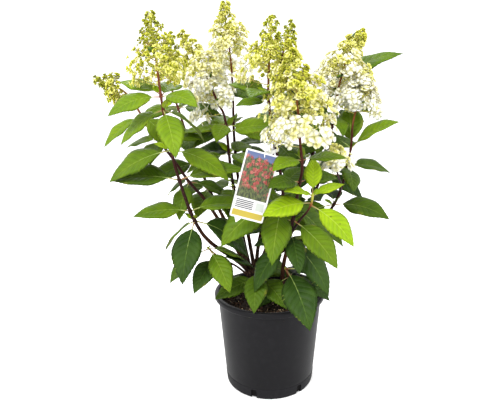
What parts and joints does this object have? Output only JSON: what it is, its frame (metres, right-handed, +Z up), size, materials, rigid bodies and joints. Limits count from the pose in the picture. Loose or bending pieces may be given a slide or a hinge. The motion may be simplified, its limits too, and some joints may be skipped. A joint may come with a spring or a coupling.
{
  "type": "potted panicle hydrangea shrub",
  "caption": "Garden shrub in a round nursery pot: upright canes, whorls of toothed leaves, cone-shaped flower heads and a plain hanging label.",
  "frame": {"origin": "centre of the flat underside of the pot", "axes": "+Z up along the pot's axis, -Y is the front, where the plant label hangs, +X to the right of someone facing the front"},
  "size_m": [0.6163, 0.4427, 0.794],
  "materials": {
    "pot": "matt moulded black plastic",
    "compost": "moist peat and bark compost",
    "bark": "smooth red-brown young bark",
    "foliage": "satin green leaf",
    "florets": "soft matt petals, cream to lime green",
    "label": "printed plastic card"
  },
  "bodies": {
    "root": {"pot": "pot", "compost": "compost", "crown": "bark", "cane_left": "bark", "cane_far_left": "bark", "cane_left_inner": "bark", "cane_left_rear": "bark", "cane_centre_rear": "bark", "cane_centre": "bark", "cane_front": "bark", "cane_right": "bark", "cane_right_rear": "bark", "cane_right_tall": "bark", "cane_rear": "bark", "foliage_left": "foliage", "foliage_far_left": "foliage", "foliage_left_inner": "foliage", "foliage_left_rear": "foliage", "foliage_centre_rear": "foliage", "foliage_centre": "foliage", "foliage_front": "foliage", "foliage_right": "foliage", "foliage_right_rear": "foliage", "foliage_right_tall": "foliage", "foliage_rear": "foliage", "foliage_low_left": "foliage", "foliage_low_front": "foliage", "foliage_low_right": "foliage", "panicle_left": "florets", "panicle_far_left": "florets", "panicle_left_inner": "florets", "panicle_left_rear": "florets", "panicle_centre_rear": "florets", "panicle_centre": "florets", "panicle_centre_fork": "florets", "panicle_front": "florets", "panicle_right": "florets", "panicle_right_side": "florets", "panicle_right_rear": "florets", "label": "label"}
  },
  "joints": []
}
